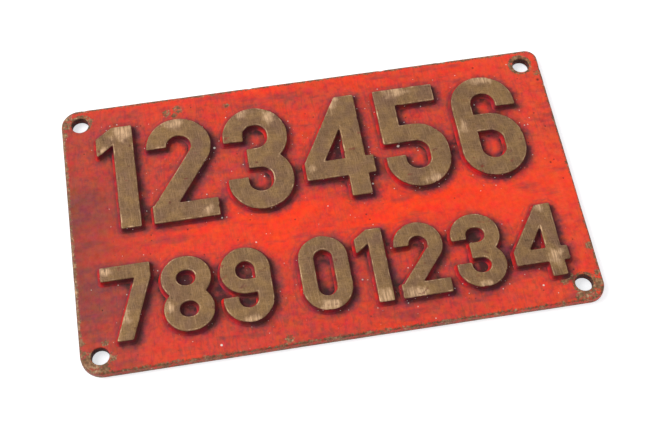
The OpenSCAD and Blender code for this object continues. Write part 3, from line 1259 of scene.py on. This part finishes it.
@dataclass(frozen=True)
class EnamelCoat:
    """Red enamel with the dirt of many years and painted shade in its corners, painted light and shade on the
    numerals' walls, and freshest on the band between the rows.
    """

    effects: Effects
    band_level: float = -6.5
    vermilion: str = "#ff3e15"
    faded: str = "#d2422e"
    dusky: str = "#8b3f35"
    right_end_orange: str = "#e45037"
    plum: str = "#6d3a3e"
    # Painted lit red of the numerals' walls; the shaded red under it is their painted shaded copy
    lit_wall_crimson: str = "#e6140e"
    shaded: str = "#70181c"
    # Soot, which also paints the darkest shadow at the numerals' feet and in their counters
    soot_and_shade: str = "#241a1c"
    umber: str = "#6b4634"
    dust: str = "#efe4d8"

    def build(self) -> Effect:
        """Makes the coat as a group, which takes the gaps to a numeral's foot and to its side away from the
        lamp, where painted shadow falls.
        """
        return Effect(self.enamel_coat, Gap=5.0, Lee=5.0, Pit=0.0, Enclosed=0.0)

    def enamel_coat(self, given: Signal) -> dict[str, Signal]:
        """Gives the coat's colour, roughness and height.

        Args:
            given: The coat's inputs.

        Returns:
            The three by name.
        """
        place = given["Place"]
        mottle = place.noise(1.3, 5, 3, rough=0.56)
        colour, dirt = self.dirtied_and_shaded(given, self.weathered(place, mottle))
        colour = self.uneven_hue(place, colour * mottle.rise(0.2, 0.8, 0.9, 1.08))
        scored, specks = self.scoring(place), self.specks(given)
        colour = (scored * place.axes()["X"].rise(60, -20, 0.03, 0.15)).blend(colour, self.plum)
        colour = (given["Pit"] * 0.95).blend(colour, self.soot_and_shade)
        return {
            "Color": specks.blend(colour, self.dust),
            "Roughness": dirt * 0.3 + mottle.rise(0.3, 0.7, 0.36, 0.52),
            "Height": mottle * 0.012 + place.noise(1.6, 3, 8) * 0.06 - scored * 0.012 + specks * 0.06,
        }

    def weathered(self, place: Signal, mottle: Signal) -> Signal:
        """Gives the red of the open ground, brightest between the rows and dull at the left end.

        Args:
            place: Place on the object.
            mottle: The coat's mottle.

        Returns:
            The colour.
        """
        cloud, across, up = self.effects.cloud, place.axes()["X"], place.axes()["Y"]
        from_band = abs(up - self.band_level)
        # Lighter and more orange towards the right end
        towards_right = across.rise(30, 75, 0, 0.4)
        worn = from_band.rise(3, 15, 0, 0.6) - up.rise(38, 46, 0, 0.3) - towards_right
        patchy = cloud(place, Size=13, Stretch=2, Start=0.36, Seed=1)
        fade = (patchy * 0.45 + worn).at_least(0).at_most(1)
        colour = fade.blend(self.vermilion, self.faded)
        colour = towards_right.blend(colour, self.right_end_orange)
        dull = cloud(place, Size=7, Stretch=2.5, Start=0.36, End=0.62, Seed=4)
        left_end = across.rise(-44, -80) * (dull * 0.28 + 0.78) * from_band.rise(36, 14, 0.45, 1)
        colour = left_end.blend(colour, self.dusky)
        brushed = cloud(place, Size=4, Stretch=0.18, Start=0.46, End=0.7, Seed=18)
        colour = (brushed * (fade * 0.35 + 0.06)).blend(colour, self.plum)
        colour = (mottle.rise(0.5, 0.36) * (fade * 0.28 + 0.02)).blend(colour, self.plum)
        smeared = cloud(place, Size=4.5, Stretch=3.5, Start=0.53, End=0.7, Seed=9)
        colour = (smeared * 0.5).blend(colour, self.plum)
        stain = self.effects.specks(place, Spacing=9, Size=1.7, Share=0.3, Seed=5)
        return (stain * 0.35).blend(colour, self.umber)

    @staticmethod
    def uneven_hue(place: Signal, colour: Signal) -> Signal:
        """Lets each part of a colour drift a little on its own, towards pink and orange."""
        drift = (place.noise(3, 5, 30, rough=0.7)["Color"] - 0.5) * (0.4, 2.2, 2.4)
        return colour * (drift + 1)

    def dirtied_and_shaded(self, given: Signal, colour: Signal) -> tuple[Signal, Signal]:
        """Paints light and shade on the numerals' walls, and painted shadow with dirt on the ground at their
        feet.

        Args:
            given: The coat's inputs.
            colour: Colour of the clean coat.

        Returns:
            The colour with its dirt, and how much dirt there is.
        """
        place, gap, lee_gap, enclosed = given["Place"], given["Gap"], given["Lee"], given["Enclosed"]
        cloud, border = self.effects.cloud, self.effects.border
        uneven = place.noise(2.5, 3, 28)
        # Painted light on the walls: lit crimson on all, and the shaded red laid over it, most on the side
        # away from the lamp
        wall = gap.rise(0.45, -0.15)
        colour = (wall * 0.85).blend(colour, self.lit_wall_crimson)
        dim = uneven.rise(0.62, 0.38, 0.8, 1.35) - (lee_gap - gap).rise(-1.1, 0.9) * 0.75
        colour = (wall * dim.at_most(0.8)).blend(colour, self.shaded)

        lapping = cloud(place, Size=5, Start=0.3, Seed=6)
        # Painted shadow with dirt in a ragged band on the side away from the lamp
        lee = border(place, Gap=lee_gap - 1, Raggedness=2, Grain=1.3, Softness=1.7, Seed=2)
        lee = lee * (lapping * 0.6 + 0.2)
        # Dirt with painted shade in a ring round every foot
        close = gap.rise(1.4, 0.2) * gap.rise(-0.2, 0.2) * (lapping * 0.4 + 0.2)
        tide = abs(uneven * 3 - 3.2 + gap).rise(0.7, 0.1) * uneven.rise(0.4, 0.62, 0, 0.4)
        # Dirt with painted shade over the counters that raised work shuts in
        boxed = enclosed * (lapping * 0.45 + 0.35)
        halo = lee.at_least(close).at_least(tide.at_least(boxed))
        colour = halo.blend(colour, self.plum)
        # Darkest painted shadow with soot, close to the walls away from the lamp and deep in the counters
        corner = border(place, Gap=lee_gap + 0.1, Raggedness=1.3, Grain=0.8, Softness=0.8, Seed=3)
        packed = enclosed * uneven.rise(0.36, 0.6, 0.25, 0.85)
        corner = (corner * (lapping * 0.5 + 0.05)).at_least(packed)
        return corner.blend(colour, self.soot_and_shade), halo.at_least(corner)

    def scoring(self, place: Signal) -> Signal:
        """Gives the fine scratches that wiping has left across the ground and up it.

        Args:
            place: Place on the object.

        Returns:
            Mask of the scratches.
        """
        across = self.effects.scratches(place, Turn=0.06, Length=14, Width=0.22, Share=0.35, Seed=2)
        up = self.effects.scratches(place, Turn=1.5, Length=9, Width=0.24, Share=0.4, Seed=1)
        return up.at_least(across)

    def specks(self, given: Signal) -> Signal:
        """Gives pale specks of dust, fine ones in drifts and a few larger ones, most at the numerals' feet.

        Args:
            given: The coat's inputs.

        Returns:
            Mask of the specks.
        """
        place, near = given["Place"], given["Gap"].rise(5, 0, 0.04, 0.4)
        share = near * (self.effects.cloud(place, Size=7, Start=0.42, End=0.62, Seed=15) + 0.25)
        fine = self.effects.specks(place, Spacing=1.3, Size=0.24, Share=share, Seed=7)
        large = self.effects.specks(place, Spacing=5, Size=0.5, Share=near, Seed=8)
        return (fine * 0.6).at_least(large * 0.9)


@dataclass(frozen=True)
class BrassSkin:
    """Cast brass gone olive brown, rubbed bright in streaks."""

    effects: Effects
    olive: str = "#8b6b45"
    brown: str = "#765940"
    mauve: str = "#755647"
    bright: str = "#d8b18a"
    umber: str = "#58432c"
    black: str = "#2e251e"

    def build(self) -> Effect:
        """Makes the skin as a group, which takes how far it is rubbed, with any painted highlight, and how
        tarnished it is.
        """
        return Effect(self.brass_skin, Rubbed=0.0, Tarnish=0.3)

    def brass_skin(self, given: Signal) -> dict[str, Signal]:
        """Gives the skin's colour, roughness and height.

        Args:
            given: The skin's inputs.

        Returns:
            The three by name.
        """
        place, cloud, scratches = given["Place"], self.effects.cloud, self.effects.scratches
        colour = cloud(place, Size=4, Start=0.35, End=0.65, Seed=11).blend(self.olive, self.brown)
        blush = cloud(place, Size=8, Start=0.48, End=0.66, Seed=16)
        grain = place.noise(0.4, 4, 12, rough=0.7)
        colour = (blush * 0.6).blend(colour, self.mauve) * grain.rise(0.25, 0.75, 0.7, 1.28)

        across = scratches(place, Turn=0.08, Length=6, Width=0.18, Share=0.5, Seed=4)
        up = scratches(place, Turn=1.5, Length=5, Width=0.18, Share=0.6, Seed=3)
        strokes = up.at_least(across)
        colour = (strokes * 0.16).blend(colour, self.bright)

        streaks = (place * (1 / 0.5, 1 / 5.0, 1 / 0.8)).noise(1, 3, 13, rough=0.6)
        # Rubbed bright places; on the numerals the input also brings a painted highlight along the top's edge
        pressed = ((place.noise(2.2, 3, 17) - 0.5) * 1.8 + given["Rubbed"]).rise(0.2, 1)
        rubbed = pressed * streaks.rise(0.36, 0.64, 0.25, 0.95)
        colour = rubbed.blend(colour, self.bright)

        blotches = place.noise(0.9, 3, 29, rough=0.6).rise(0.6, 0.42, 0.05, 1)
        colour = (given["Tarnish"] * blotches).blend(colour, self.umber)
        spots = cloud(place, Size=1.3, Start=0.6, End=0.7, Seed=14)
        return {
            "Color": (spots * 0.35).blend(colour, self.black),
            "Roughness": rubbed.between(grain.rise(0.3, 0.7, 0.46, 0.62), 0.36),
            "Height": grain * 0.03 - strokes * 0.015,
        }


# Finishes


@dataclass(frozen=True)
class Coats:
    """What both finishes are made of."""

    effects: Effects
    enamel: Effect
    brass: Effect


class Finish:
    """Base of the two finishes: both lay worn enamel over brass."""

    # Colour of dirt, and of painted shade in the plate's bores
    grime_colour = "#38151a"

    def __init__(self, name: str, coats: Coats) -> None:
        """Makes the material.

        Args:
            name: Its name.
            coats: The coats and effects.
        """
        self.material = bpy.data.materials.new(name)
        self.wiring = Wiring.instead(self.material)
        self.coats = coats
        self.place = self.wiring.put("ShaderNodeTexCoord")["Object"] * (1 / MM)
        self.wire()

    def wire(self) -> None:
        """Wires the finish, in each of the two in its own way."""
        raise NotImplementedError

    def attribute(self, name: str) -> Signal:
        """Reads a number that the mesh keeps for each corner."""
        return self.wiring.put("ShaderNodeAttribute", attribute_name=name, attribute_type="GEOMETRY")["Fac"]

    def lay(
        self, enamel: Signal, brass: Signal, bare: Signal, grime: Signal, metallic: float, gloss: float
    ) -> None:
        """Lays enamel over brass, then dirt and painted shade over both, and ends the material.

        Args:
            enamel: The enamel coat.
            brass: The brass skin.
            bare: Mask that is 1 where the brass is bare.
            grime: Mask that is 1 where dirt and painted shade hide both.
            metallic: How much of the bare brass reflects as clean metal.
            gloss: Specular level of the whole piece.
        """
        colour = bare.blend(enamel["Color"], brass["Color"])
        rough = bare.between(enamel["Roughness"], brass["Roughness"])
        height = bare.between(enamel["Height"] + 0.05, brass["Height"])
        surface = {
            "Base Color": grime.blend(colour, self.grime_colour),
            "Roughness": grime * 0.25 + rough,
            "Metallic": bare * metallic * (1 - grime),
            "Normal": self.wiring.put("ShaderNodeBump", {"Strength": 1, "Distance": MM, "Height": height}),
            "Specular IOR Level": gloss,
        }
        shader = self.wiring.put("ShaderNodeBsdfPrincipled", surface)
        self.wiring.put("ShaderNodeOutputMaterial", {"Surface": shader})


class RedEnamelFinish(Finish):
    """The plate's finish: enamel on the ground, brass at its edges, rims, chips and back."""

    def wire(self) -> None:
        """Wires the finish."""
        place, border, cloud = self.place, self.coats.effects.border, self.coats.effects.cloud
        gap, lee, pit = (self.attribute(name) for name in ("figure_gap", "dirt_gap", "pit"))
        enamel = self.coats.enamel(place, Gap=gap, Lee=lee, Pit=pit, Enclosed=self.attribute("enclosed"))
        brass = self.coats.brass(place, Rubbed=0.42, Tarnish=0.8)
        bare_gap = self.attribute("bare_gap")
        worn = border(place, Gap=bare_gap, Raggedness=0.9, Grain=0.5, Softness=0.15, Seed=21)
        stained = cloud(place, Size=1, Stretch=1.4, Start=0.39, End=0.48, Seed=25)
        bare = worn * (stained * 0.65 + 0.3).at_least(bare_gap.rise(-1, -2))
        patchiness = cloud(place, Size=2, Start=0.3, Seed=26)
        # Painted shade in the bores and dirt under the front edge, both patchy
        grime = self.attribute("grime") * (patchiness * 0.3 + 0.62)
        self.lay(enamel, brass, bare, grime, metallic=0.4, gloss=0.2)


class NumeralFinish(Finish):
    """The numerals' finish: enamel on their walls and bare brass on their tops."""

    top_level = 5.0

    def wire(self) -> None:
        """Wires the finish."""
        place, border, cloud = self.place, self.coats.effects.border, self.coats.effects.cloud
        enamel = self.coats.enamel(place, Gap=self.attribute("figure_gap"), Lee=self.attribute("dirt_gap"))
        patchiness = cloud(place, Size=2.5, Start=0.35, Seed=27)
        # A pale line round the edge of the flat top: worn brass with a painted highlight
        rim = abs(self.attribute("crown_gap") - 0.02).rise(0.3, 0.02) * (patchiness * -0.45 + 0.7)
        brass = self.coats.brass(place, Rubbed=self.attribute("rubbed").at_least(rim), Tarnish=0)
        height = place.axes()["Z"]
        below = self.top_level - 0.35 - height
        worn = border(place, Gap=below, Raggedness=0.3, Grain=0.6, Softness=0.1, Seed=22)
        flecks = cloud(place, Size=2.6, Stretch=1.3, Start=0.63, End=0.7, Seed=23)
        # A dark line a little under the flat top, all round its edge
        line = abs(height - (self.top_level - 0.5)).rise(0.3, 0.05)
        grime = line * (patchiness * 0.5 + 0.15)
        self.lay(enamel, brass, worn * (1 - flecks * 0.6), grime, metallic=0.3, gloss=0.1)


# Studio


@dataclass(frozen=True)
class PhotoCamera:
    """The photograph's viewpoint, solved from the plate's edges and holes."""

    place: Triple = (-32.758, -196.355, 355.819)
    look: Triple = (0.08275, 0.47337, -0.87697)
    up: Triple = (0.14352, 0.86515, 0.48054)
    lens: float = 69.44
    sensor_width: float = 36.0

    def build(self) -> None:
        """Makes the camera and gives it to the scene."""
        forward = Vector(self.look).normalized()
        right = forward.cross(Vector(self.up)).normalized()
        turn = Matrix((right, right.cross(forward), -forward)).transposed().to_4x4()
        lens = bpy.data.cameras.new("photo_camera")
        lens.sensor_fit = "HORIZONTAL"
        lens.sensor_width = self.sensor_width
        lens.lens = self.lens
        camera = in_scene("photo_camera", lens)
        camera.matrix_world = Matrix.Translation(Vector(self.place) * MM) @ turn
        bpy.context.scene.camera = camera


@dataclass(frozen=True)
class SoftLamp:
    """A square soft box that looks at the middle of the plate."""

    name: str
    place: Triple
    size: float
    watts: float

    def build(self) -> None:
        """Makes the lamp."""
        light = bpy.data.lights.new(self.name, "AREA")
        light.shape = "SQUARE"
        light.size = self.size * MM
        light.energy = self.watts
        place = Vector(self.place) * MM
        turn = place.to_track_quat("Z", "Y").to_matrix().to_4x4()
        in_scene(self.name, light).matrix_world = Matrix.Translation(place) @ turn


@dataclass(frozen=True)
class Studio:
    """White table, pale surroundings and soft light from the plate's upper left."""

    table_size: float = 3000.0
    table_level: float = -0.05
    table_colour: Colour = (0.7, 0.7, 0.7, 1.0)
    table_lift: float = 0.58
    table_glow: Colour = (0.95, 0.97, 1.0, 1.0)
    surround: float = 0.6
    lamp: SoftLamp = SoftLamp("key_soft_box", (-990.0, 380.0, 1000.0), size=950.0, watts=14.5)

    def build(self) -> None:
        """Makes the table, the surroundings and the lamp."""
        self.table()
        self.surroundings()
        self.lamp.build()
        bpy.context.scene.view_settings.view_transform = "Standard"

    @staticmethod
    def shown(w: Wiring) -> Signal:
        """Gives 1 for what the camera sees, also in gloss and through openings."""
        rays = w.put("ShaderNodeLightPath")
        return rays["Is Camera Ray"].at_least(rays["Is Glossy Ray"]).at_least(rays["Is Transmission Ray"])

    def table(self) -> None:
        """Makes the white table, which keeps the object's shadow."""
        half, level = self.table_size / 2 * MM, self.table_level * MM
        mesh = bpy.data.meshes.new("table")
        corners = [(-half, -half, level), (half, -half, level), (half, half, level), (-half, half, level)]
        mesh.from_pydata(corners, [], [(0, 1, 2, 3)])
        top = in_scene("table", mesh)
        material = bpy.data.materials.new("white_table")
        mesh.materials.append(material)
        w = Wiring.instead(material)
        matt = w.put("ShaderNodeBsdfDiffuse", {"Color": self.table_colour})
        lift = self.shown(w) * self.table_lift
        glow = w.put("ShaderNodeEmission", {"Color": self.table_glow, "Strength": lift})
        w.put("ShaderNodeOutputMaterial", {"Surface": w.put("ShaderNodeAddShader", {0: matt, 1: glow})})

    def surroundings(self) -> None:
        """Makes the pale surroundings, which look white and light the object softly."""
        world = bpy.data.worlds.new("studio")
        bpy.context.scene.world = world
        w = Wiring.instead(world)
        strength = self.shown(w).between(self.surround, 1)
        back = w.put("ShaderNodeBackground", {"Color": (1, 1, 1, 1), "Strength": strength})
        w.put("ShaderNodeOutputWorld", {"Surface": back})


# The whole sign


def numerals_of_sign() -> list[RaisedNumeral]:
    """Lists the numerals of both rows with their rubbed places, each given as the values of a RubbedSpot.

    Returns:
        The numerals, from left to right and the upper row first.
    """
    upper = {
        1: [(0.8, 0.95, 7, 6), (0.2, 0.75, 4, 6, 0.9)],
        2: [(0.45, 0.96, 6, 4.5), (0.85, 0.05, 4, 3, 0.7)],
        3: [(0.35, 0.97, 5, 4, 0.8), (0.75, 0.9, 3.5, 6, 0.9)],
        4: [(0.55, 0.95, 4, 7, 0.9), (0.1, 0.3, 4, 3, 0.7)],
        5: [(0.35, 0.97, 8, 3.5), (0.7, 0.03, 6, 4, 0.9)],
        6: [(0.6, 0.98, 10, 3.5), (0.1, 0.5, 2.5, 6, 0.7)],
    }
    lower = {
        7: [(0.1, 0.95, 4, 3, 0.9), (0.45, 0.3, 3, 7, 0.7)],
        8: [(0.1, 0.35, 3, 5, 0.9)],
        9: [(0.5, 0, 6, 3)],
        0: [(0.5, 0.02, 7, 5)],
        1: [(0.7, 0.05, 5, 5)],
        2: [(0.3, 0.03, 7, 4.5)],
        3: [(0.5, 0, 5, 3, 0.8)],
        4: [(0.75, 0.25, 5, 6, 0.9), (0.7, 0.95, 3, 3, 0.7)],
    }
    return [
        RaisedNumeral(row, digit, tuple(RubbedSpot(*size) for size in sizes))
        for row, rubbed in ((Row.UPPER, upper), (Row.LOWER, lower))
        for digit, sizes in rubbed.items()
    ]


def register(piece: Piece, node_name: str, slot: str) -> None:
    """Hides a piece's CAD node and hangs the piece under the root body.

    Args:
        piece: The piece.
        node_name: Name of the node that it replaces.
        slot: Slot of its finish, which is only logged.
    """
    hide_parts(node_name)
    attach(piece, "root")
    log.info("%s: %d faces, slot %s", piece.name, len(piece.data.polygons), slot)


def main() -> None:
    """Builds the studio and every piece of the sign."""
    logging.basicConfig(level=logging.INFO, format="%(name)s: %(message)s")
    PhotoCamera().build()
    Studio().build()
    effects = Effects()
    coats = Coats(effects, EnamelCoat(effects).build(), BrassSkin(effects).build())
    plate_finish = RedEnamelFinish("red_enamel_on_plate", coats).material
    numeral_finish = NumeralFinish("aged_brass_on_numerals", coats).material
    skin = CastingSkin()
    numerals = numerals_of_sign()
    plate = SignPlate(tuple((numeral.outlines(), numeral.section.foot) for numeral in numerals))
    made = [(plate.build(skin, plate_finish), "plate", "red_enamel")]
    for seed, numeral in enumerate(numerals, start=FIRST_NUMERAL_SEED):
        made.append((numeral.build(skin, numeral_finish, seed), numeral.name, "aged_brass"))
    for piece, node_name, slot in made:
        register(piece, node_name, slot)


if __name__ == "__main__":
    main()
